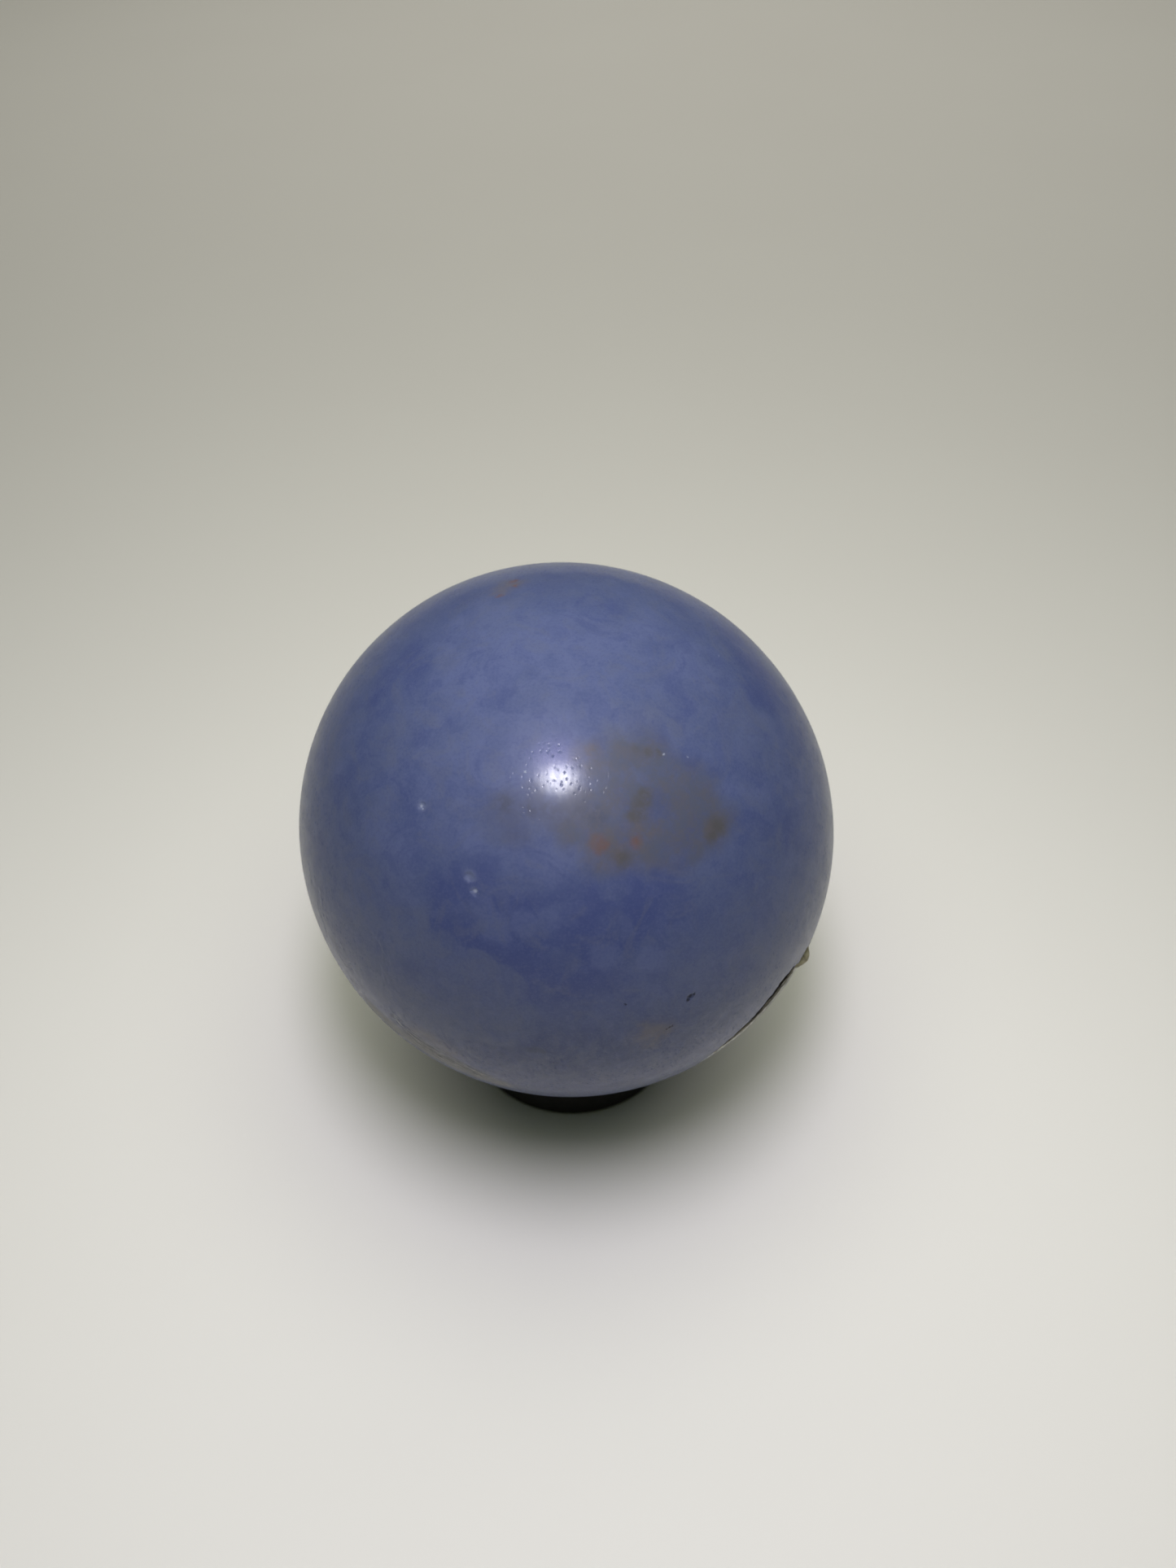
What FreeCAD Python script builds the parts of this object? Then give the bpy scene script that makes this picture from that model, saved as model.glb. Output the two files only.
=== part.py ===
"""Polished mineral ball on a small round ring stand.

The object is two loose pieces. The ball is one ground and polished stone, with a scar low on its right,
a little crust of rough stone at the scar's upper end and a few pits. The scar is a cracked groove with a
shallow chip behind it.
The stand is one moulded ring with a conical seat. The ball rests on the seat by its own weight, and
lifts straight off.

Frame: millimetres, +Z up, origin at the centre of the ring's underside, -Y towards the front.
A place on the ball is an azimuth and an elevation, in degrees, seen from the ball's centre: azimuth 0
is the front and grows towards +X, and elevation 0 is the equator and grows upwards.
"""

import FreeCAD
import Part
import math
import os

# Ball
BALL_RADIUS = 30.0

# Ring stand
RING_BASE_RADIUS = 13.9
RING_HEIGHT = 10.8
RING_DRAFT = 0.5  # how much smaller the outer wall's radius is at the top
LIP_WIDTH = 0.8  # flat rim between the outer wall and the seat
BORE_RADIUS = 8.0
SEAT_CONTACT_RADIUS = 10.8  # where the ball touches the seat
BASE_ROUND = 0.5
LIP_ROUND = 0.35
BORE_ROUND = 0.6

# Air gap between the ball and its seat, so that the two solids never share volume
SEAT_GAP = 0.02

# The groove is a row of round hollows along a line with these corners: (azimuth, elevation)
GROOVE_LINE = [
    (62.0, -8.0),
    (54.7, -9.7),
    (50.7, -7.4),
    (48.2, -7.4),
    (44.9, -9.8),
    (42.0, -12.5),
    (37.5, -15.7),
    (34.4, -18.7),
    (31.6, -23.5),
]
GROOVE_STEP = 1.1  # from one hollow to the next
GROOVE_HALF_WIDTH = 1.0
GROOVE_HOLLOW_RADIUS = 1.2

# Each other hollow in the ball is a scoop: (azimuth, elevation, half-width in mm, hollow radius in mm)
CHIP_SCOOPS = [
    (54.3, -12.6, 2.6, 14.0),
    (50.5, -14.4, 3.1, 14.0),
    (47.2, -17.0, 3.2, 14.0),
    (44.0, -19.3, 3.2, 14.0),
    (40.4, -21.4, 3.0, 14.0),
    (36.9, -23.8, 2.6, 14.0),
    (33.2, -25.8, 1.9, 14.0),
]
PITS = [
    (-38.7, 44.2, 0.42, 0.6),
    (-21.7, 35.4, 0.55, 0.9),
    (-20.1, 33.0, 0.40, 0.6),
    (22.5, 8.6, 0.40, 0.5),
]

# The crust is a low dome that was left standing when the ball was ground
CRUST_AZIMUTH = 59.1
CRUST_ELEVATION = -11.6
CRUST_HALF_WIDTH = 1.5
CRUST_HEIGHT = 0.6


def outward(azimuth, elevation):
    """Unit vector from the ball's centre towards a place on its surface."""
    a = math.radians(azimuth)
    e = math.radians(elevation)
    return FreeCAD.Vector(
        math.sin(a) * math.cos(e), -math.cos(a) * math.cos(e), math.sin(e)
    )


def seat_slope():
    """Angle of the conical seat above the horizontal: the ball's own slope where it touches."""
    return math.asin(SEAT_CONTACT_RADIUS / BALL_RADIUS)


def seat_height(radius):
    """Height of the conical seat at a distance from the axis."""
    inner_lip = RING_BASE_RADIUS - RING_DRAFT - LIP_WIDTH
    return RING_HEIGHT - (inner_lip - radius) * math.tan(seat_slope())


def ball_centre():
    """Centre of the resting ball, which is tangent to the seat but for SEAT_GAP."""
    touch = seat_height(SEAT_CONTACT_RADIUS)
    rise = BALL_RADIUS * math.cos(seat_slope())
    lift = SEAT_GAP / math.cos(seat_slope())
    return FreeCAD.Vector(0, 0, touch + rise + lift)


def scoop(direction, half_width, hollow_radius):
    """Sphere that bites a round hollow of that half-width into the ball."""
    ball_reach = math.sqrt(BALL_RADIUS**2 - half_width**2)
    hollow_reach = math.sqrt(hollow_radius**2 - half_width**2)
    centre = ball_centre() + direction * (ball_reach + hollow_reach)
    return Part.makeSphere(hollow_radius, centre)


def groove_directions():
    """Directions of the groove's hollows, in even steps from corner to corner."""
    corners = [outward(*corner) for corner in GROOVE_LINE]
    directions = []
    for start, end in zip(corners, corners[1:]):
        steps = round(start.getAngle(end) * BALL_RADIUS / GROOVE_STEP)
        for step in range(steps):
            directions.append((start + (end - start) * (step / steps)).normalize())
    directions.append(corners[-1])
    return directions


def crust():
    """Sphere whose cap stands proud of the ball by the crust's height."""
    foot_reach = math.sqrt(BALL_RADIUS**2 - CRUST_HALF_WIDTH**2)
    dome = BALL_RADIUS + CRUST_HEIGHT - foot_reach  # from the cap's foot circle to its top
    radius = (CRUST_HALF_WIDTH**2 + dome**2) / (2 * dome)
    reach = BALL_RADIUS + CRUST_HEIGHT - radius
    centre = ball_centre() + outward(CRUST_AZIMUTH, CRUST_ELEVATION) * reach
    return Part.makeSphere(radius, centre)


def polished_ball():
    """The stone: a sphere with its crust on, and its scar and its pits cut out."""
    up = FreeCAD.Vector(0, 0, 1)
    ball = Part.makeSphere(BALL_RADIUS, ball_centre(), up)
    # the sphere's own seam starts at +X; turn it to the back, away from every hollow
    ball.rotate(ball_centre(), up, 90)
    ball = ball.fuse(crust())
    for azimuth, elevation, half_width, hollow_radius in CHIP_SCOOPS + PITS:
        ball = ball.cut(scoop(outward(azimuth, elevation), half_width, hollow_radius))
    for direction in groove_directions():
        ball = ball.cut(scoop(direction, GROOVE_HALF_WIDTH, GROOVE_HOLLOW_RADIUS))
    return ball


def ring_profile():
    """Half section of the ring in the XZ plane, as a face."""
    top_radius = RING_BASE_RADIUS - RING_DRAFT
    corners = [
        (BORE_RADIUS, 0),
        (RING_BASE_RADIUS, 0),
        (top_radius, RING_HEIGHT),
        (top_radius - LIP_WIDTH, RING_HEIGHT),
        (BORE_RADIUS, seat_height(BORE_RADIUS)),
    ]
    points = [FreeCAD.Vector(radius, 0, height) for radius, height in corners]
    return Part.Face(Part.makePolygon(points + points[:1]))


def circles_at(solid, radius, height):
    """The solid's horizontal circular edges of that radius at that height."""
    found = []
    for edge in solid.Edges:
        curve = edge.Curve
        if not isinstance(curve, Part.Circle):
            continue
        if math.isclose(curve.Radius, radius, abs_tol=1e-4) and math.isclose(
            curve.Center.z, height, abs_tol=1e-4
        ):
            found.append(edge)
    return found


def ring_stand():
    """The stand: the section turned about the ball's axis, with its handled edges rounded."""
    axis_point = FreeCAD.Vector(0, 0, 0)
    axis = FreeCAD.Vector(0, 0, 1)
    ring = ring_profile().revolve(axis_point, axis, 360)
    rounds = [
        (RING_BASE_RADIUS, 0, BASE_ROUND),
        (RING_BASE_RADIUS - RING_DRAFT, RING_HEIGHT, LIP_ROUND),
        (BORE_RADIUS, seat_height(BORE_RADIUS), BORE_ROUND),
    ]
    for radius, height, size in rounds:
        ring = ring.makeFillet(size, circles_at(ring, radius, height))
    return ring


def main():
    os.makedirs("parts", exist_ok=True)
    pieces = {"polished_ball": polished_ball(), "ring_stand": ring_stand()}
    for node, shape in pieces.items():
        shape.exportStep(f"parts/{node}.step")
        print(node, "valid" if shape.isValid() else "INVALID", len(shape.Solids), "solid")
    print(f"ball centre is {ball_centre().z:.4f} mm above the base")


main()
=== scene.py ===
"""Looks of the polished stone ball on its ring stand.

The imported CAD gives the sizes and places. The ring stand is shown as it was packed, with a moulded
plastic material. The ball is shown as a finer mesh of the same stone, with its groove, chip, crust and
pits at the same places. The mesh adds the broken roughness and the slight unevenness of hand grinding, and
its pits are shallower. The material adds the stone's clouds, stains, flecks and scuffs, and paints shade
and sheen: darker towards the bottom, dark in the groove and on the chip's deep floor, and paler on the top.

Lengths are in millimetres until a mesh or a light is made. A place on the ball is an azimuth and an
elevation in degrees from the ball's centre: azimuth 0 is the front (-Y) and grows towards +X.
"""

import math

import bmesh
import bpy
import numpy as np
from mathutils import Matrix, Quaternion, Vector, noise


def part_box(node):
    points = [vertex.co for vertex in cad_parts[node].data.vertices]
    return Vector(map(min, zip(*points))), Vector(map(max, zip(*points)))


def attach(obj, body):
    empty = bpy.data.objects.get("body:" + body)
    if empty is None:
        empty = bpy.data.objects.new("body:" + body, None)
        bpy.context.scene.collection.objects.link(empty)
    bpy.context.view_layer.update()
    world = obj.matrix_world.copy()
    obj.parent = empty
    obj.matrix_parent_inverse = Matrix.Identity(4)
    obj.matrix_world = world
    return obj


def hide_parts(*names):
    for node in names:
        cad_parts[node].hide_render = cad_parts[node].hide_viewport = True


MM = 0.001

# Vector noise takes its offsets from the clock unless it is given a seed
noise.seed_set(1)

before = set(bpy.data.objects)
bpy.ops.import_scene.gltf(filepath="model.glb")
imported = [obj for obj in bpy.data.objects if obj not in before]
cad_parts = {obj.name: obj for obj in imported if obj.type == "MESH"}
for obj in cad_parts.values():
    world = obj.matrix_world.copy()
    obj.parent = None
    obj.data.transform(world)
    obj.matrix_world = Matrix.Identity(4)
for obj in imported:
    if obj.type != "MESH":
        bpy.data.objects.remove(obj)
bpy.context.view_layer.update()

BALL_LOW, BALL_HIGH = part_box("polished_ball")
BALL_RADIUS = (BALL_HIGH.z - BALL_LOW.z) / 2 / MM
BALL_HEIGHT = (BALL_HIGH.z + BALL_LOW.z) / 2 / MM
RING_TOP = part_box("ring_stand")[1].z / MM

# The scar's groove, as in the CAD ball: a row of round hollows along a line with these corners
GROOVE_LINE = [
    (62.0, -8.0),
    (54.7, -9.7),
    (50.7, -7.4),
    (48.2, -7.4),
    (44.9, -9.8),
    (42.0, -12.5),
    (37.5, -15.7),
    (34.4, -18.7),
    (31.6, -23.5),
]
GROOVE_STEP = 1.1
GROOVE_HALF_WIDTH = 1.0
GROOVE_HOLLOW_RADIUS = 1.2

# The chip is a row of scoops, as in the CAD ball: (azimuth, elevation, half-width, hollow radius)
CHIP_SCOOPS = [
    (54.3, -12.6, 2.6, 14.0),
    (50.5, -14.4, 3.1, 14.0),
    (47.2, -17.0, 3.2, 14.0),
    (44.0, -19.3, 3.2, 14.0),
    (40.4, -21.4, 3.0, 14.0),
    (36.9, -23.8, 2.6, 14.0),
    (33.2, -25.8, 1.9, 14.0),
]
# The pits are at the CAD's places, but shallower: (azimuth, elevation, half-width, hollow radius)
PITS = [
    (-38.7, 44.2, 0.42, 0.6),
    (-21.7, 35.4, 0.55, 0.9),
    (-20.1, 33.0, 0.40, 0.6),
    (22.5, 8.6, 0.40, 0.5),
]

# The low dome of rough stone, as in the CAD ball: azimuth, elevation, half-width, height
CRUST = (59.1, -11.6, 1.5, 0.6)

# A worn band runs low across the ball's left, and its front edge is scratched: azimuth, elevation, radius
WORN = [
    (-46.0, -12.0, 2.0), (-41.0, -13.5, 2.4), (-36.0, -14.5, 2.7), (-31.0, -15.5, 2.8), (-26.0, -17.0, 2.7),
    (-21.0, -19.0, 2.3), (-16.5, -21.0, 1.8),
]
SCRATCHED = [
    (-37.5, -7.0, 1.1), (-35.0, -10.0, 1.4), (-32.0, -12.5, 1.7), (-28.5, -13.8, 1.7), (-25.0, -15.0, 1.6),
    (-21.0, -17.0, 1.4),
]

# Grinding left the ball slightly narrow along one axis
NARROW_AXIS = (126.0, 29.0)
NARROWING = 0.5

GRINDING_UNEVENNESS = 0.03
CHIP_COARSE_ROUGHNESS = 0.10
CHIP_FINE_ROUGHNESS = 0.04
PIT_DEPTH_SHARE = 0.5  # of the depth in the CAD


# ---------------------------------------------------------------- places on the ball


def outward(azimuth, elevation):
    """Unit vector from the ball's centre towards a place on its surface."""
    a = math.radians(azimuth)
    e = math.radians(elevation)
    return np.array([math.sin(a) * math.cos(e), -math.cos(a) * math.cos(e), math.sin(e)])


def smooth_step(low, high, x):
    t = np.clip((x - low) / (high - low), 0, 1)
    return t * t * (3 - 2 * t)


def wander(points, size, seed, octaves=3):
    """Smooth noise vectors, about -1 to 1, that vary over that size in mm."""
    offset = Vector((seed * 17.3, seed * 5.1, seed * 29.7))
    made = [noise.turbulence_vector(Vector(p) / size + offset, octaves, False) for p in points]
    return np.array(made)


def rough(points, size, seed, octaves=4):
    """Smooth noise values, about -1 to 1, that vary over that size in mm."""
    offset = Vector((seed * 11.9, seed * 31.3, seed * 7.7))
    made = [noise.fractal(Vector(p) / size + offset, 0.9, 2.1, octaves) for p in points]
    return np.array(made)


# ---------------------------------------------------------------- the ball's mesh


def scooped_radius(directions, middle, half_width, hollow_radius):
    """Distance to a hollow's floor along each direction, and the ball's radius outside the hollow."""
    reach = math.sqrt(BALL_RADIUS**2 - half_width**2) + math.sqrt(hollow_radius**2 - half_width**2)
    along = directions @ middle * reach
    inside = along**2 - reach**2 + hollow_radius**2
    floor = along - np.sqrt(np.maximum(inside, 0))
    hit = (inside > 0) & (along > 0)
    return np.where(hit, np.minimum(floor, BALL_RADIUS), BALL_RADIUS)


def crusted_radius(directions, azimuth, elevation, half_width, height):
    """Distance to the crust's dome along each direction, and the ball's radius outside the dome."""
    rise = BALL_RADIUS + height - math.sqrt(BALL_RADIUS**2 - half_width**2)
    dome_radius = (half_width**2 + rise**2) / (2 * rise)
    reach = BALL_RADIUS + height - dome_radius
    along = directions @ outward(azimuth, elevation) * reach
    inside = along**2 - reach**2 + dome_radius**2
    hit = (inside > 0) & (along > 0)
    return np.where(hit, np.maximum(along + np.sqrt(np.maximum(inside, 0)), BALL_RADIUS), BALL_RADIUS)


def deepest(directions, hollows):
    """Depth along each direction of the deepest hollow: (middle direction, half-width, hollow radius)."""
    radii = np.full(len(directions), BALL_RADIUS)
    for middle, half_width, hollow_radius in hollows:
        radii = np.minimum(radii, scooped_radius(directions, middle, half_width, hollow_radius))
    return BALL_RADIUS - radii


def hollows_at(places):
    return [(outward(azimuth, elevation), *sizes) for azimuth, elevation, *sizes in places]


def groove_directions():
    """Directions of the groove's hollows, in even steps from corner to corner."""
    corners = [outward(*corner) for corner in GROOVE_LINE]
    directions = []
    for start, end in zip(corners, corners[1:]):
        steps = round(math.acos(start @ end) * BALL_RADIUS / GROOVE_STEP)
        for step in range(steps):
            middle = start + (end - start) * (step / steps)
            directions.append(middle / np.linalg.norm(middle))
    directions.append(corners[-1])
    return directions


def groove_hollows():
    return [(middle, GROOVE_HALF_WIDTH, GROOVE_HOLLOW_RADIUS) for middle in groove_directions()]


def warped(directions, size, amount, seed):
    """Directions shifted by noise, so that a round hollow gets a broken outline."""
    moved = directions + wander(directions * BALL_RADIUS, size, seed) * (amount / BALL_RADIUS)
    return moved / np.linalg.norm(moved, axis=1)[:, None]


def marked(directions, places):
    """How marked the polish is along each direction: 1 within those places and 0 away from them."""
    share = np.zeros(len(directions))
    for azimuth, elevation, radius in places:
        away = np.linalg.norm(directions - outward(azimuth, elevation), axis=1) * BALL_RADIUS
        share = np.maximum(share, smooth_step(radius * 1.4, radius * 0.4, away))
    return share


def ball_surface(directions):
    """Radius along each direction, and the marks that the stone's material follows."""
    places = directions * BALL_RADIUS
    narrow = NARROWING * (directions @ outward(*NARROW_AXIS)) ** 2
    uneven = GRINDING_UNEVENNESS * (1 + rough(directions, 0.5, 1, octaves=2))
    seat_side = smooth_step(-0.80, -0.45, directions[:, 2])
    ground = (narrow + np.clip(uneven, 0, 0.1)) * seat_side

    crust = crusted_radius(warped(directions, 1.0, 0.30, 9), *CRUST) - BALL_RADIUS
    groove = deepest(warped(directions, 0.9, 0.18, 2), groove_hollows())
    chip = deepest(warped(directions, 1.6, 0.45, 3), hollows_at(CHIP_SCOOPS))
    chip_share = smooth_step(0.0, 0.05, chip)
    broken = np.maximum(chip_share, smooth_step(0.0, 0.1, crust))
    coarse = CHIP_COARSE_ROUGHNESS * np.abs(rough(places, 1.3, 3))
    fine = CHIP_FINE_ROUGHNESS * np.abs(rough(places, 0.4, 4))
    pits = deepest(warped(directions, 0.5, 0.20, 7), hollows_at(PITS))

    rough_chip = chip + broken * (coarse + fine)
    hollows = np.maximum(np.maximum(groove, rough_chip), PIT_DEPTH_SHARE * pits)
    marks = {"groove": groove, "chip": chip_share, "chip_depth": chip, "crust": crust}
    marks["worn"] = marked(directions, WORN)
    marks["scratched"] = marked(directions, SCRATCHED)
    return BALL_RADIUS - ground + crust - hollows, marks


def near_places(directions, places, margin):
    """True for directions within any of those places, or within the margin in mm beyond its rim."""
    near = np.zeros(len(directions), bool)
    for azimuth, elevation, half_width, *_ in places:
        limit = math.cos((half_width + margin) / BALL_RADIUS)
        near |= directions @ outward(azimuth, elevation) > limit
    return near


def vertex_directions(bm):
    co = np.array([v.co for v in bm.verts])
    return co / np.linalg.norm(co, axis=1)[:, None]


def refine(bm, places, margin):
    """Halves the faces in and around those places."""
    bm.verts.index_update()
    near = near_places(vertex_directions(bm), places, margin)
    edges = [e for e in bm.edges if near[e.verts[0].index] and near[e.verts[1].index]]
    bmesh.ops.subdivide_edges(bm, edges=edges, cuts=1, use_grid_fill=True)


def even_sphere(segments):
    """A unit sphere of nearly even quads, made from a cube of that many segments a side."""
    bm = bmesh.new()
    bmesh.ops.create_cube(bm, size=2)
    bmesh.ops.subdivide_edges(bm, edges=bm.edges[:], cuts=segments - 1, use_grid_fill=True)
    for v in bm.verts:
        v.co = Vector([math.tan(x * math.pi / 4) for x in v.co]).normalized()
    return bm


def build_ball():
    bm = even_sphere(segments=80)
    rims = [(azimuth, elevation, GROOVE_HALF_WIDTH) for azimuth, elevation in GROOVE_LINE]
    refine(bm, CHIP_SCOOPS + rims + [CRUST], 1.2)
    refine(bm, CHIP_SCOOPS + rims + [CRUST], 0.8)
    refine(bm, rims + [CRUST], 0.9)
    for margin in (1.2, 0.9, 0.6):
        refine(bm, PITS, margin)
    directions = vertex_directions(bm)
    radii, marks = ball_surface(directions)
    mesh = bpy.data.meshes.new("stone_ball")
    bm.to_mesh(mesh)
    bm.free()
    places = directions * radii[:, None] + [0, 0, BALL_HEIGHT]
    mesh.vertices.foreach_set("co", (places * MM).astype(np.float32).ravel())
    for name, values in marks.items():
        layer = mesh.attributes.new(name, "FLOAT", "POINT")
        layer.data.foreach_set("value", values.astype(np.float32))
    mesh.shade_smooth()
    mesh.update()
    ball = bpy.data.objects.new("stone_ball", mesh)
    bpy.context.scene.collection.objects.link(ball)
    return ball


# ---------------------------------------------------------------- shader helpers


class Shader:
    """A material's node tree, built by calls that each return an output socket."""

    def __init__(self, name):
        self.material = bpy.data.materials.new(name)
        self.material.use_nodes = True
        self.tree = self.material.node_tree
        self.tree.nodes.clear()

    def node(self, kind, inputs=None, **settings):
        made = self.tree.nodes.new(kind)
        for key, value in settings.items():
            setattr(made, key, value)
        for key, value in (inputs or {}).items():
            self.put(made.inputs[key], value)
        return made

    def put(self, socket, value):
        if isinstance(value, bpy.types.NodeSocket):
            self.tree.links.new(value, socket)
        else:
            socket.default_value = value

    def math(self, operation, a, b=0.0, clamp=False):
        made = self.node("ShaderNodeMath", {0: a, 1: b}, operation=operation, use_clamp=clamp)
        return made.outputs[0]

    def vector(self, operation, a, b):
        made = self.node("ShaderNodeVectorMath", {0: a, 1: b}, operation=operation)
        return made.outputs["Value" if operation in ("DISTANCE", "DOT_PRODUCT") else "Vector"]

    def scaled(self, vector, amount):
        made = self.node("ShaderNodeVectorMath", {0: vector, "Scale": amount}, operation="SCALE")
        return made.outputs[0]

    def most(self, *masks):
        """The largest of those masks."""
        largest = masks[0]
        for mask in masks[1:]:
            largest = self.math("MAXIMUM", largest, mask)
        return largest

    def noise(self, where, size, detail=3.0, roughness=0.5, distortion=0.0, output="Fac"):
        made = self.node(
            "ShaderNodeTexNoise",
            {"Vector": where, "Scale": 1 / size, "Detail": detail, "Roughness": roughness,
             "Distortion": distortion},
        )
        return made.outputs[output]

    def cells(self, where, size, output="Distance"):
        made = self.node("ShaderNodeTexVoronoi", {"Vector": where, "Scale": 1 / size})
        return made.outputs[output]

    def ease(self, value, low, high, out_low=0.0, out_high=1.0):
        """Eases from out_low at low to out_high at high."""
        made = self.node(
            "ShaderNodeMapRange",
            {"Value": value, "From Min": low, "From Max": high, "To Min": out_low, "To Max": out_high},
            interpolation_type="SMOOTHSTEP",
        )
        return made.outputs["Result"]

    def mix(self, amount, a, b):
        """Colour a with colour b over it by that amount."""
        made = self.node("ShaderNodeMix", {0: amount}, data_type="RGBA")
        self.put(made.inputs[6], rgba(a))
        self.put(made.inputs[7], rgba(b))
        return made.outputs[2]

    def bump(self, height, distance, strength=1.0, normal=None):
        inputs = {"Height": height, "Distance": distance * MM, "Strength": strength}
        if normal is not None:
            inputs["Normal"] = normal
        return self.node("ShaderNodeBump", inputs).outputs["Normal"]

    def local_mm(self, centre=(0, 0, 0)):
        """Object coordinates in mm from that centre."""
        place = self.node("ShaderNodeTexCoord").outputs["Object"]
        return self.vector("SUBTRACT", self.scaled(place, 1 / MM), centre)

    def finish(self, **inputs):
        named = {key.replace("_", " "): value for key, value in inputs.items()}
        surface = self.node("ShaderNodeBsdfPrincipled", named)
        self.node("ShaderNodeOutputMaterial", {"Surface": surface.outputs[0]})
        return self.material


def rgba(colour):
    if isinstance(colour, tuple) and len(colour) == 3:
        return (*colour, 1.0)
    return colour


# ---------------------------------------------------------------- the stone's material

# Linear colours
DEEP_BLUE = (0.045, 0.061, 0.168)
MID_BLUE = (0.063, 0.083, 0.184)
PALE_BLUE = (0.083, 0.104, 0.216)
GREY_CLOUD = (0.077, 0.096, 0.180)
VEIL_GREY = (0.092, 0.106, 0.168)
# Painted shade: the colour the ball turns towards its bottom
PAINTED_LOW_SHADE = (0.035, 0.048, 0.121)
STAIN_GREY = (0.070, 0.079, 0.118)
STAIN_OLIVE = (0.079, 0.081, 0.108)
STAIN_DARK = (0.052, 0.058, 0.095)
FAINT_BROWN = (0.064, 0.070, 0.112)
SMUDGE_BLUE = (0.034, 0.042, 0.080)
OLIVE = (0.068, 0.065, 0.064)
OCHRE = (0.105, 0.082, 0.060)
RUST = (0.125, 0.062, 0.045)
TAN = (0.120, 0.108, 0.112)
CHALK = (0.36, 0.40, 0.50)
# Near-black for small specks, one cluster of them darkening a pit
NEAR_BLACK = (0.012, 0.012, 0.014)
BROKEN_PALE = (0.84, 0.83, 0.78)
BROKEN_GREY = (0.45, 0.44, 0.40)
# Painted shade deep in the groove
GROOVE_PAINTED_SHADE = (0.014, 0.012, 0.010)
# Painted shade on the chip's deep floor and along the groove's rim
RECESS_PAINTED_SHADE = (0.035, 0.030, 0.023)
CHIP_DIRT = (0.130, 0.118, 0.086)
CRUST_OLIVE = (0.360, 0.330, 0.230)
WORN_BEIGE = (0.300, 0.288, 0.240)
SCRATCH_DARK = (0.070, 0.070, 0.070)
SCRATCH_PALE = (0.420, 0.415, 0.380)

# Clouds inside the stone, with painted sheen on the top among the pale ones: (azimuth, elevation, radius in
# mm)
DEEP_CLOUDS = [
    (-24.0, 30.0, 4.0), (-13.0, 26.0, 4.5), (0.0, 25.5, 5.0), (13.0, 28.0, 4.5), (21.0, 23.5, 4.0),
    (0.0, 19.5, 4.0), (-11.0, 19.5, 3.0), (52.0, 30.0, 3.0),
]
# Pale places at elevation 72.5 and above are painted sheen of the overhead light on the top; the others are
# pale clouds
PALE_CLOUDS_AND_TOP_SHEEN = [
    (-59.0, 62.5, 4.5), (-47.0, 79.5, 5.5), (4.0, 72.5, 6.5), (37.0, 78.0, 4.5), (-86.0, 76.0, 4.5),
    (24.0, 60.5, 2.5), (-28.0, 42.5, 3.5), (-40.0, 39.0, 4.0), (-7.0, 37.0, 3.0), (-44.0, 48.0, 3.5),
    (56.0, 50.0, 4.5), (50.0, 42.0, 3.5), (70.0, 62.0, 4.0), (-70.0, 58.0, 3.5),
]
GREY_CLOUDS = [
    (-56.0, 27.0, 5.5), (-45.0, 23.0, 5.0), (32.0, 30.5, 3.5), (44.0, 24.5, 5.5), (34.0, 21.0, 4.5),
    (46.0, 13.5, 6.5), (25.0, 16.0, 4.5), (38.0, 8.5, 6.5), (-170.0, 70.0, 5.0), (170.0, 78.0, 4.0),
    (62.0, 46.0, 4.0), (48.0, 60.0, 3.5), (-58.0, 52.0, 3.5),
]
# The grey cloud low on the left has a crisp scalloped edge towards the deep blue
SCALLOPS = [
    (-33.5, 20.0, 3.3), (-25.5, 19.0, 2.7), (-18.5, 17.5, 2.6), (-13.0, 15.3, 2.5), (-37.0, 8.5, 7.5),
    (-26.0, 8.0, 5.5), (-15.0, 7.5, 4.5),
]

# Small pale lobes within the deep blue
LOBES = [
    (-14.9, 27.3, 1.6), (-9.1, 28.6, 1.4), (-18.0, 30.5, 1.2), (-4.5, 29.5, 1.2), (6.0, 22.0, 1.5),
    (15.0, 20.0, 1.4),
]

# Stains and flecks: (azimuth, elevation, radius in mm)
STAIN_CLOUDS = [
    (10.0, 57.0, 2.0), (18.0, 57.0, 2.2), (25.0, 55.0, 2.6), (25.0, 51.0, 3.2), (33.0, 46.0, 3.2),
    (35.5, 41.0, 2.8), (27.0, 41.0, 3.0), (18.5, 41.5, 2.6), (9.5, 42.5, 2.6), (6.5, 48.0, 2.6),
    (14.5, 50.5, 3.0), (1.5, 45.5, 1.8), (29.0, 37.5, 1.4),
]
FAINT_STAINS = [
    (-16.5, 47.5, 2.0), (-10.0, 48.5, 1.8), (-3.0, 48.5, 1.8), (-13.0, 45.5, 1.6), (2.0, 50.5, 1.6),
    (-8.0, 51.5, 1.3),
]
DARK_WISPS = [
    (-16.6, 49.3, 0.9), (-1.4, 48.4, 1.1), (3.5, 48.6, 0.9), (-9.9, 49.0, 0.8), (-5.5, 49.2, 0.8),
    (7.5, 47.5, 0.9),
]
VEILS = [(29.5, 61.9, 1.6), (24.0, 60.1, 1.3), (35.4, 62.0, 1.4), (18.0, 61.5, 1.2), (40.0, 58.0, 1.2)]
OLIVE_CLOUDS = [
    (21.8, 49.6, 0.65), (20.5, 48.4, 0.80), (19.0, 47.1, 0.80), (17.2, 46.1, 0.65), (24.4, 57.4, 0.40),
    (27.5, 56.3, 0.45), (30.6, 55.5, 0.35), (12.5, 39.6, 0.80), (37.0, 39.0, 1.00), (34.5, 38.0, 0.70),
]
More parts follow.
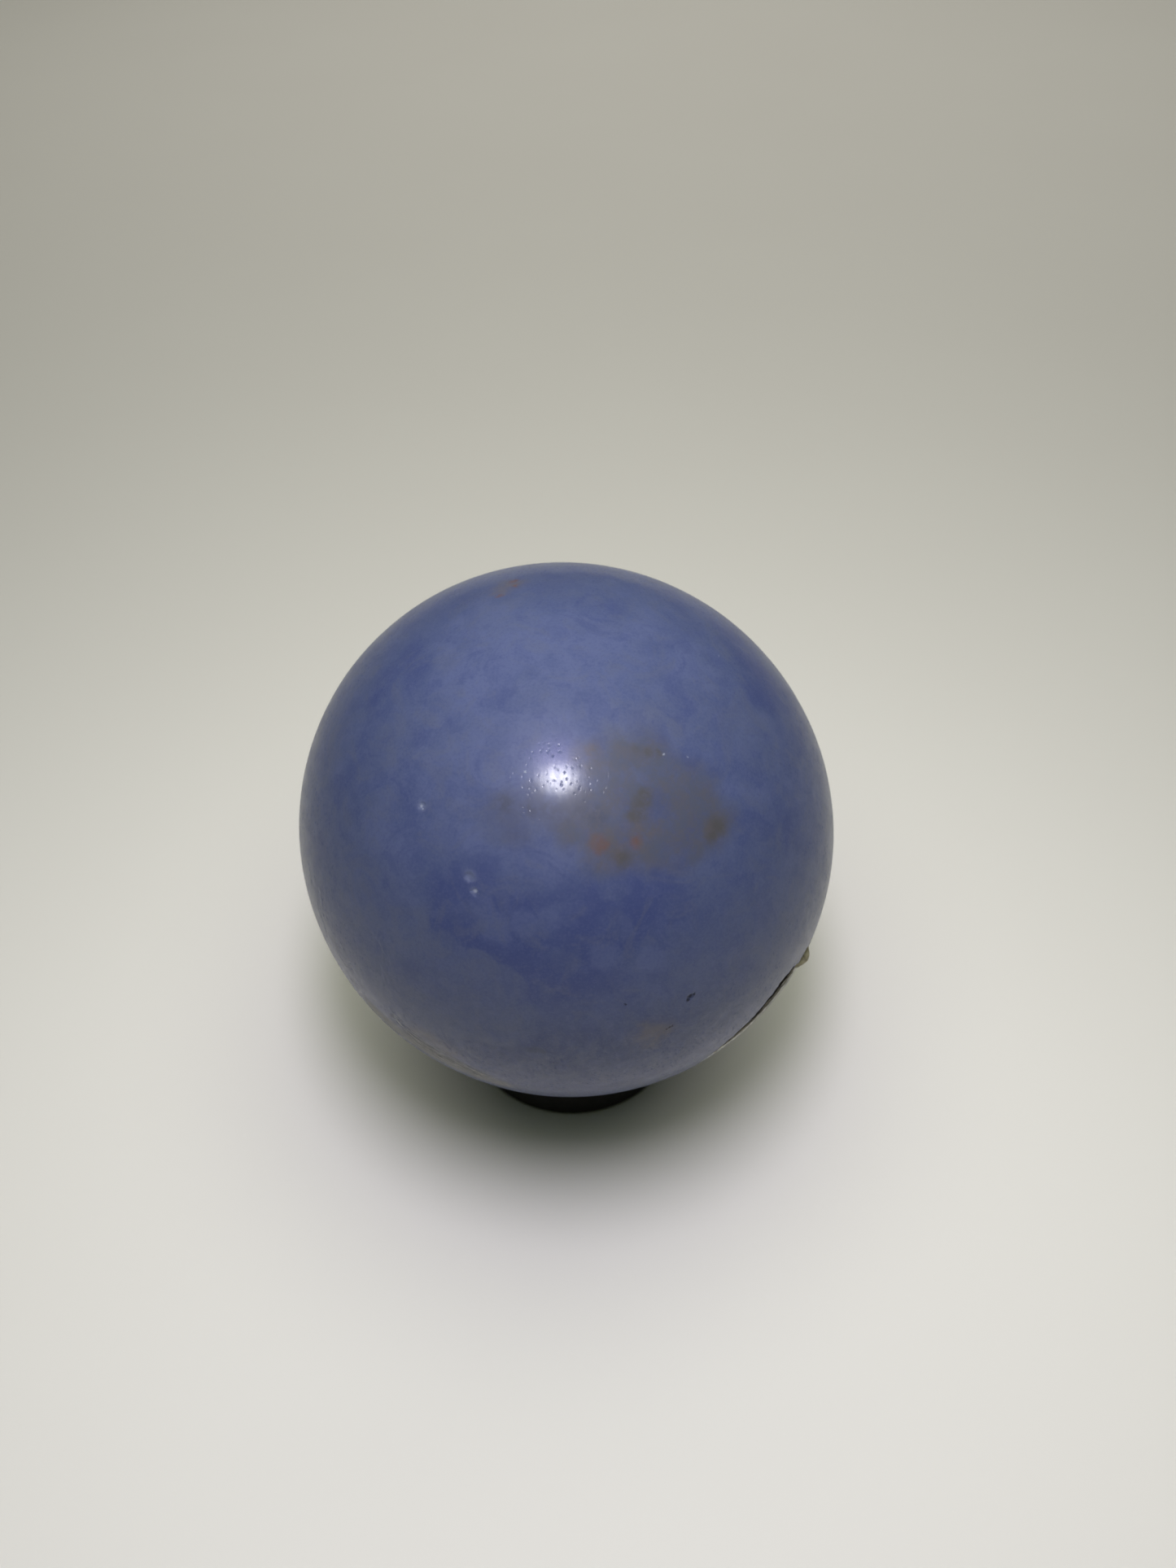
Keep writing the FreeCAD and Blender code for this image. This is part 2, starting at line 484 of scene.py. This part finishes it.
OCHRE_CLOUDS = [
    (7.5, 42.7, 1.35), (16.1, 42.2, 1.10), (36.0, 39.0, 1.10), (9.5, 59.0, 0.70), (8.5, 40.8, 1.20),
    (12.5, 40.5, 1.20), (17.5, 44.5, 1.10), (20.0, 43.5, 1.00),
]
RUST_SPOTS = [(7.3, 42.7, 0.75), (8.8, 42.3, 0.40), (15.9, 41.8, 0.50)]
TAN_SPOTS = [
    (-142.0, 72.7, 1.5), (-132.0, 74.0, 1.0), (14.8, 1.5, 1.9), (-30.7, -7.5, 1.9), (-26.0, -9.0, 1.7),
]
TAN_RIMS = [(-150.0, 72.0, 0.35), (-128.0, 75.0, 0.35), (-146.0, 74.5, 0.30)]
CHALK_SPOTS = [
    (-38.7, 44.2, 0.20), (-38.2, 43.9, 0.12), (85.3, 58.2, 0.26), (53.1, 45.2, 0.14), (64.0, 56.2, 0.16),
    (31.8, 54.8, 0.14), (38.5, 52.5, 0.10), (46.0, 36.0, 0.10), (-12.4, 55.4, 0.10), (-20.1, 33.1, 0.22),
]
CHALK_CLOUDS = [(-38.7, 44.2, 0.50), (-21.7, 35.6, 0.58), (-20.3, 33.2, 0.42)]
# Near-black specks; three of them sit over the pit at (22.5, 8.6) and darken it
NEAR_BLACK_SPECKS = [
    (22.5, 8.6, 0.28), (22.0, 8.0, 0.20), (23.2, 8.9, 0.18), (9.7, 11.2, 0.14), (18.7, 2.2, 0.15),
    (18.2, 2.0, 0.14), (17.7, 1.7, 0.12), (6.4, -9.0, 0.13), (-29.2, 12.9, 0.13), (-51.8, 0.6, 0.26),
]
SMUDGES = [(-8.2, -0.8, 0.45), (-7.2, -0.6, 0.50), (-6.0, -1.0, 0.40)]


def spots(shader, where, places, softness):
    """1 inside the marks at those places and 0 outside, fading over that share of each mark's radius."""
    total = None
    for azimuth, elevation, radius in places:
        centre = tuple(outward(azimuth, elevation) * BALL_RADIUS)
        away = shader.vector("DISTANCE", where, centre)
        mask = shader.ease(away, radius * (1 + softness), radius * (1 - softness))
        total = mask if total is None else shader.math("MAXIMUM", total, mask)
    return total


def jittered(shader, where, size, amount, detail=3.0):
    """Coordinates pushed about by noise of that size, up to that many mm."""
    drift = shader.noise(where, size, detail, output="Color")
    centred = shader.vector("SUBTRACT", drift, (0.5, 0.5, 0.5))
    return shader.vector("ADD", where, shader.scaled(centred, 2 * amount))


def masked(shader, mask, amount):
    """The mask made weaker by that amount, which can be a number or another mask."""
    return shader.math("MULTIPLY", mask, amount)


def cloudiness(shader, where, drifting):
    """How milky the blue stone is: 0 for its clear deep blue, 1 for its palest clouds and the painted sheen
    on the top.
    """
    broad = shader.noise(drifting, 13.0, 5.0, 0.6)
    fine = shader.noise(jittered(shader, where, 2.5, 1.0), 3.0, 8.0, 0.68)
    milk = shader.ease(broad, 0.25, 0.75)
    milk = shader.math("ADD", milk, masked(shader, shader.math("SUBTRACT", fine, 0.5), 1.3))
    # Pale clouds, and high on the top a painted sheen, both as milkier stone
    milk = shader.math("ADD", milk, masked(shader, spots(shader, drifting, PALE_CLOUDS_AND_TOP_SHEEN, 0.6), 0.30))
    return shader.math("SUBTRACT", milk, masked(shader, spots(shader, drifting, DEEP_CLOUDS, 0.6), 0.42))


def flakes(shader, where, size, low, high):
    """1 on some of a layer of crisp ragged flakes of that size, more of them as low and high fall."""
    ragged = jittered(shader, where, 0.45 * size, 0.35 * size, 5.0)
    tone = shader.node("ShaderNodeSeparateColor", {0: shader.cells(ragged, size, "Color")}).outputs[0]
    return shader.ease(tone, low, high)


def clouded_blue(shader, where):
    """The stone's colour: lavender blue clouds with painted sheen among the pale ones on top, grey clouds,
    painted shade darker towards the bottom, flakes and a fine grain.
    """
    drifting = jittered(shader, where, 6.0, 2.6, 5.0)
    crumbly = jittered(shader, where, 1.6, 0.7, 5.0)
    milk = cloudiness(shader, where, drifting)
    colour = shader.mix(shader.ease(milk, 0.05, 0.60), DEEP_BLUE, MID_BLUE)
    colour = shader.mix(shader.ease(milk, 0.45, 1.10), colour, PALE_BLUE)
    height = shader.node("ShaderNodeSeparateXYZ", {0: drifting}).outputs["Z"]
    # Painted shade: darker and greyer towards the bottom, fading in from 10 mm above the centre to 4 mm
    # below it
    colour = shader.mix(shader.ease(height, 10.0, -4.0, 0.0, 0.80), colour, PAINTED_LOW_SHADE)
    grey = masked(shader, spots(shader, drifting, GREY_CLOUDS, 0.6), 0.5)
    colour = shader.mix(grey, colour, GREY_CLOUD)
    scalloped = spots(shader, jittered(shader, where, 2.2, 0.5, 5.0), SCALLOPS, 0.09)
    colour = shader.mix(masked(shader, scalloped, 0.62), colour, GREY_CLOUD)
    colour = shader.mix(masked(shader, spots(shader, crumbly, LOBES, 0.3), 0.60), colour, PALE_BLUE)
    colour = shader.mix(masked(shader, spots(shader, crumbly, VEILS, 0.7), 0.55), colour, VEIL_GREY)
    colour = shader.mix(masked(shader, flakes(shader, where, 2.6, 0.55, 0.85), 0.30), colour, GREY_CLOUD)
    colour = shader.mix(masked(shader, flakes(shader, where, 1.1, 0.62, 0.82), 0.22), colour, PALE_BLUE)
    colour = shader.mix(masked(shader, flakes(shader, where, 1.7, 0.70, 0.85), 0.22), colour, DEEP_BLUE)
    wisps = shader.noise(where, 4.5, 8.0, 0.66, 1.4)
    colour = shader.mix(shader.ease(wisps, 0.50, 0.64, 0.0, 0.38), colour, VEIL_GREY)
    colour = shader.mix(shader.ease(wisps, 0.48, 0.36, 0.0, 0.45), colour, DEEP_BLUE)
    grain = shader.noise(where, 0.26, 4.0, 0.75)
    colour = shader.mix(shader.ease(grain, 0.45, 0.75, 0.0, 0.50), colour, PALE_BLUE)
    return shader.mix(shader.ease(grain, 0.55, 0.25, 0.0, 0.50), colour, DEEP_BLUE)


def stained(shader, where, colour):
    """The colour with the big grey-brown stain, its olive, ochre and rust, and the tan patches over it."""
    ragged = jittered(shader, where, 3.0, 1.3, 7.0)
    crumbly = jittered(shader, where, 1.1, 0.60, 5.0)
    patchy = shader.noise(jittered(shader, where, 1.5, 0.8, 4.0), 2.2, 7.0, 0.70)
    thick = shader.ease(patchy, 0.34, 0.58, 0.42, 0.92)
    mottle = shader.noise(jittered(shader, where, 0.8, 0.4, 4.0), 1.3, 6.0, 0.75)

    stain = masked(shader, spots(shader, ragged, STAIN_CLOUDS, 0.55), thick)
    stain_colour = shader.mix(shader.ease(mottle, 0.42, 0.58), STAIN_GREY, STAIN_OLIVE)
    colour = shader.mix(stain, colour, stain_colour)
    faint = masked(shader, spots(shader, ragged, FAINT_STAINS, 0.7), thick)
    colour = shader.mix(masked(shader, faint, 0.60), colour, FAINT_BROWN)
    wisps = masked(shader, spots(shader, crumbly, DARK_WISPS, 0.8), shader.ease(mottle, 0.62, 0.45))
    colour = shader.mix(masked(shader, wisps, 0.65), colour, STAIN_DARK)
    ochre_share = shader.ease(mottle, 0.35, 0.60, 0.3, 0.8)
    ochre = masked(shader, spots(shader, crumbly, OCHRE_CLOUDS, 0.8), ochre_share)
    colour = shader.mix(masked(shader, ochre, 0.50), colour, OCHRE)
    olive_share = shader.ease(mottle, 0.62, 0.46, 0.35, 1.0)
    olive = masked(shader, spots(shader, crumbly, OLIVE_CLOUDS, 0.7), olive_share)
    colour = shader.mix(masked(shader, olive, 0.75), colour, OLIVE)
    rust_share = shader.ease(mottle, 0.62, 0.42, 0.4, 1.0)
    rust = masked(shader, spots(shader, crumbly, RUST_SPOTS, 0.8), rust_share)
    colour = shader.mix(masked(shader, rust, 0.75), colour, RUST)

    tan_share = shader.ease(patchy, 0.35, 0.6, 0.2, 0.65)
    tan = masked(shader, spots(shader, ragged, TAN_SPOTS, 0.7), tan_share)
    colour = shader.mix(tan, colour, TAN)
    rims = masked(shader, spots(shader, crumbly, TAN_RIMS, 0.8), 0.7)
    return shader.mix(rims, colour, RUST)


def along_band(shader, where):
    """Coordinates squeezed along the worn band, so that a noise makes streaks that run along it."""
    run = Vector(outward(*SCRATCHED[-1][:2]) - outward(*SCRATCHED[0][:2])).normalized()
    reach = shader.vector("DOT_PRODUCT", where, run)
    return shader.vector("SUBTRACT", where, shader.scaled(run, masked(shader, reach, 0.88)))


def worn_over(shader, where, colour, worn, scratched):
    """The colour with the worn band and its fine scratches; also where the scratches are."""
    streaks = shader.noise(jittered(shader, along_band(shader, where), 0.8, 0.12), 0.17, 5.0, 0.75)
    lines = masked(shader, scratched, shader.ease(streaks, 0.53, 0.60))
    bright_lines = masked(shader, scratched, shader.ease(streaks, 0.46, 0.40))
    dulled = masked(shader, worn, shader.ease(streaks, 0.35, 0.65, 0.70, 0.45))
    colour = shader.mix(dulled, colour, WORN_BEIGE)
    colour = shader.mix(masked(shader, lines, 0.90), colour, SCRATCH_DARK)
    colour = shader.mix(masked(shader, bright_lines, 0.60), colour, SCRATCH_PALE)
    return colour, lines


def micro_pits(shader, where):
    """1 in the tiny pits that polishing left, which crowd together here and there."""
    stretched = shader.vector("MULTIPLY", jittered(shader, where, 0.5, 0.10), (1.0, 0.75, 0.60))
    pits = shader.ease(shader.cells(stretched, 0.40), 0.34, 0.12)
    crowding = shader.ease(shader.noise(where, 2.4, 3.0), 0.38, 0.58)
    return masked(shader, pits, crowding)


def scarred(shader, where, colour, groove, chip, chip_depth, crust):
    """The colour with the chip's pale rim and its floor, brown dirt under painted shade that darkens with
    depth, the groove before it painted dark as shade that deepens with it, and the crust.
    """
    mottle = shader.noise(where, 0.8, 5.0, 0.7)
    rim = shader.mix(shader.ease(mottle, 0.45, 0.62), BROKEN_PALE, BROKEN_GREY)
    # Painted shade mixed with brown dirt, for the chip's floor where it is deep
    deep_shade_and_dirt = shader.mix(shader.ease(mottle, 0.40, 0.60), RECESS_PAINTED_SHADE, CHIP_DIRT)
    uneven_depth = shader.math("ADD", chip_depth, masked(shader, mottle, 0.10))
    dark_floor = shader.ease(uneven_depth, 0.15, 0.24)
    colour = shader.mix(chip, colour, shader.mix(dark_floor, rim, deep_shade_and_dirt))
    # Painted shade in the groove: dark at its rim, near black where it is deepest
    colour = shader.mix(shader.ease(groove, 0.02, 0.10), colour, RECESS_PAINTED_SHADE)
    colour = shader.mix(shader.ease(groove, 0.15, 0.35), colour, GROOVE_PAINTED_SHADE)
    crust_colour = shader.mix(shader.ease(mottle, 0.45, 0.70), CRUST_OLIVE, CHIP_DIRT)
    return shader.mix(shader.ease(crust, 0.02, 0.10), colour, crust_colour)


def stone_material():
    shader = Shader("blue_stone")
    where = shader.local_mm((0, 0, BALL_HEIGHT))
    groove, chip, chip_depth, crust, worn, scratched = [
        shader.node("ShaderNodeAttribute", attribute_name=name).outputs["Fac"]
        for name in ("groove", "chip", "chip_depth", "crust", "worn", "scratched")
    ]
    flecked = jittered(shader, where, 0.28, 0.22, 3.0)
    chalk = masked(shader, spots(shader, flecked, CHALK_SPOTS, 0.6), 0.70)
    chalk_clouds = masked(shader, spots(shader, flecked, CHALK_CLOUDS, 0.6), 0.14)
    near_black_specks = masked(shader, spots(shader, flecked, NEAR_BLACK_SPECKS, 0.5), 0.8)
    smudge = masked(shader, spots(shader, flecked, SMUDGES, 0.9), 0.6)
    pits = micro_pits(shader, where)

    colour = stained(shader, where, clouded_blue(shader, where))
    colour = shader.mix(shader.most(chalk, chalk_clouds), colour, CHALK)
    colour = shader.mix(smudge, colour, SMUDGE_BLUE)
    colour = shader.mix(near_black_specks, colour, NEAR_BLACK)
    colour, scratches = worn_over(shader, where, colour, worn, scratched)
    colour = scarred(shader, where, colour, groove, chip, chip_depth, crust)

    broken = shader.most(chip, shader.ease(groove, 0.0, 0.05), shader.ease(crust, 0.0, 0.1))
    rubbed = shader.most(masked(shader, worn, 0.6), scratches)
    specks = shader.most(chalk, near_black_specks, masked(shader, pits, 0.65))
    dull = shader.most(broken, rubbed, specks)
    smear = shader.noise(where, 5.0, 4.0, 0.6)
    smeared = shader.ease(smear, 0.3, 0.7, 0.46, 0.52)
    roughness = shader.math("ADD", masked(shader, dull, 0.3), smeared, clamp=True)
    brushed = shader.vector("MULTIPLY", where, (1.0, 0.30, 0.25))
    streaky = shader.ease(shader.noise(brushed, 0.30, 4.0, 0.7), 0.35, 0.65, 0.32, 0.58)
    polish = shader.math("MULTIPLY", shader.math("SUBTRACT", 1.0, dull), streaky, clamp=True)
    gloss = shader.ease(smear, 0.3, 0.7, 0.17, 0.20)

    ripple = shader.bump(shader.noise(where, 2.6, 2.0, 0.5), 0.02, 0.5)
    chipped = masked(shader, shader.noise(where, 0.35, 5.0, 0.7), broken)
    normal = shader.bump(chipped, 0.10, 0.6, ripple)
    normal = shader.bump(shader.math("MULTIPLY", scratches, -1.0), 0.04, 0.8, normal)
    coat_normal = shader.bump(shader.math("MULTIPLY", pits, -1.0), 0.02, 0.6, normal)

    return shader.finish(
        Base_Color=colour, Roughness=roughness, Normal=normal, IOR=1.40, Specular_IOR_Level=0.25,
        Coat_Weight=polish, Coat_Roughness=gloss, Coat_IOR=1.40, Coat_Normal=coat_normal,
        Subsurface_Weight=0.15, Subsurface_Radius=(0.9, 1.0, 1.6), Subsurface_Scale=0.6 * MM,
    )


# ---------------------------------------------------------------- the ring's material

RING_BLACK = (0.008, 0.0075, 0.007)
RING_WORN = (0.030, 0.028, 0.025)
RING_DUST = (0.120, 0.115, 0.105)


def ring_material():
    """Black moulding: fine spark-eroded texture, wear on the lip and the foot, and a little dust."""
    shader = Shader("black_moulding")
    where = shader.local_mm()
    height = shader.node("ShaderNodeSeparateXYZ", {0: where}).outputs["Z"]
    blotch = shader.noise(where, 3.5, 4.0, 0.6)
    foot = shader.ease(height, 0.9, 0.1)
    lip = shader.ease(height, RING_TOP - 0.5, RING_TOP)
    wear = masked(shader, shader.most(foot, lip), shader.ease(blotch, 0.45, 0.65))
    colour = shader.mix(masked(shader, wear, 0.7), RING_BLACK, RING_WORN)
    specks = shader.ease(shader.noise(where, 0.3, 2.0, 0.5), 0.66, 0.74)
    colour = shader.mix(masked(shader, specks, 0.35), colour, RING_DUST)
    roughness = shader.ease(blotch, 0.3, 0.7, 0.62, 0.80)
    texture = shader.noise(where, 0.16, 3.0, 0.6)
    normal = shader.bump(texture, 0.03, 0.7)
    return shader.finish(
        Base_Color=colour, Roughness=roughness, Normal=normal, IOR=1.49, Specular_IOR_Level=0.22
    )


# ---------------------------------------------------------------- floor, lights and camera

CAMERA_ELEVATION = 46.0  # of the camera above the horizon, seen from the ball's centre
CAMERA_DISTANCE = 4.81 * BALL_RADIUS
CAMERA_LENS = 29.1  # a phone's usual wide lens, for a sensor 36 mm on its long side
AIM_RIGHT = 1.39  # how far the camera aims to the right of the ball's centre, in degrees
AIM_UP = 1.945  # and above it
CAMERA_ROLL = 0.8  # how far it leans, so that down in the picture points a little to the right
LENS_OPENING = 1.4  # the phone lens's real diameter

FLOOR_SIZE = 6000.0
FLOOR_TONES = (0.80, 0.79, 0.775), (0.82, 0.815, 0.80)
LAMP_HEIGHT = 220.0
ROOM_LIGHT = (0.88, 1.0, 0.64, 1.0)
ROOM_STRENGTH = 0.075


def floor_material():
    shader = Shader("pale_card")
    where = shader.local_mm()
    tone = shader.noise(where, 60.0, 3.0, 0.5)
    colour = shader.mix(tone, *FLOOR_TONES)
    normal = shader.bump(shader.noise(where, 0.5, 3.0, 0.6), 0.02, 0.3)
    return shader.finish(Base_Color=colour, Roughness=0.75, Normal=normal, IOR=1.45)


def build_floor():
    mesh = bpy.data.meshes.new("floor")
    half = FLOOR_SIZE / 2 * MM
    corners = [(-half, -half, 0), (half, -half, 0), (half, half, 0), (-half, half, 0)]
    mesh.from_pydata(corners, [], [(0, 1, 2, 3)])
    mesh.materials.append(floor_material())
    floor = bpy.data.objects.new("floor", mesh)
    bpy.context.scene.collection.objects.link(floor)


def add_lamp(name, place, half_width, half_depth, brightness, colour):
    """A flat oval lamp that faces straight down, as bright as that radiance, centred on that place in mm."""
    data = bpy.data.lights.new(name, "AREA")
    data.shape = "ELLIPSE"
    data.size = 2 * half_width * MM
    data.size_y = 2 * half_depth * MM
    data.color = colour
    data.energy = brightness * math.pi * (math.pi * half_width * half_depth) * MM**2
    lamp = bpy.data.objects.new(name, data)
    bpy.context.scene.collection.objects.link(lamp)
    lamp.location = Vector(place) * MM
    lamp.visible_camera = False
    return lamp


def build_lights():
    """A bright lamp and a wide dim one overhead, one far behind, and two seen only as a reflection."""
    overhead = add_lamp("overhead_lamp", (1, -62, LAMP_HEIGHT), 21, 45, 25.2, (0.91, 0.85, 1.0))
    overhead.visible_glossy = False
    wide = add_lamp("wide_lamp", (3, -36, LAMP_HEIGHT), 90, 95, 2.75, (0.97, 1.0, 0.79))
    wide.visible_glossy = False
    back = add_lamp("back_lamp", (50, 520, 300), 420, 420, 0.72, (1.0, 0.95, 0.88))
    back.visible_glossy = False
    spot = add_lamp("highlight_lamp", (-9, -90, LAMP_HEIGHT), 21, 14, 104.0, (0.98, 0.97, 1.0))
    spot.visible_diffuse = False
    glow = add_lamp("glow_lamp", (-8, -68, LAMP_HEIGHT), 26, 24, 24.0, (0.52, 0.44, 1.0))
    glow.visible_diffuse = False
    world = bpy.data.worlds.new("room")
    world.use_nodes = True
    background = world.node_tree.nodes["Background"]
    background.inputs["Color"].default_value = ROOM_LIGHT
    background.inputs["Strength"].default_value = ROOM_STRENGTH
    bpy.context.scene.world = world


def build_camera():
    """The camera stands off the ball's centre, in front and above, and aims a little up and right of it."""
    data = bpy.data.cameras.new("camera")
    data.sensor_width = 36.0
    data.lens = CAMERA_LENS
    data.clip_start = 0.01
    data.clip_end = 20.0
    towards = Vector(outward(0.0, CAMERA_ELEVATION))
    camera = bpy.data.objects.new("camera", data)
    bpy.context.scene.collection.objects.link(camera)
    camera.location = (towards * CAMERA_DISTANCE + Vector((0, 0, BALL_HEIGHT))) * MM
    turns = (
        Quaternion((0, 0, 1), -math.radians(AIM_RIGHT)),
        Quaternion((1, 0, 0), math.radians(90.0 - CAMERA_ELEVATION + AIM_UP)),
        Quaternion((0, 0, 1), -math.radians(CAMERA_ROLL)),
    )
    camera.rotation_mode = "QUATERNION"
    camera.rotation_quaternion = turns[0] @ turns[1] @ turns[2]
    data.dof.use_dof = True
    data.dof.focus_distance = (CAMERA_DISTANCE - 0.6 * BALL_RADIUS) * MM
    data.dof.aperture_fstop = CAMERA_LENS / LENS_OPENING
    bpy.context.scene.camera = camera


# ---------------------------------------------------------------- the whole scene

ball = build_ball()
ball.data.materials.append(stone_material())
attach(ball, "ball")
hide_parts("polished_ball")

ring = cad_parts["ring_stand"]
ring.material_slots[0].material = ring_material()

build_floor()
build_lights()
build_camera()
bpy.context.scene.view_settings.view_transform = "Standard"
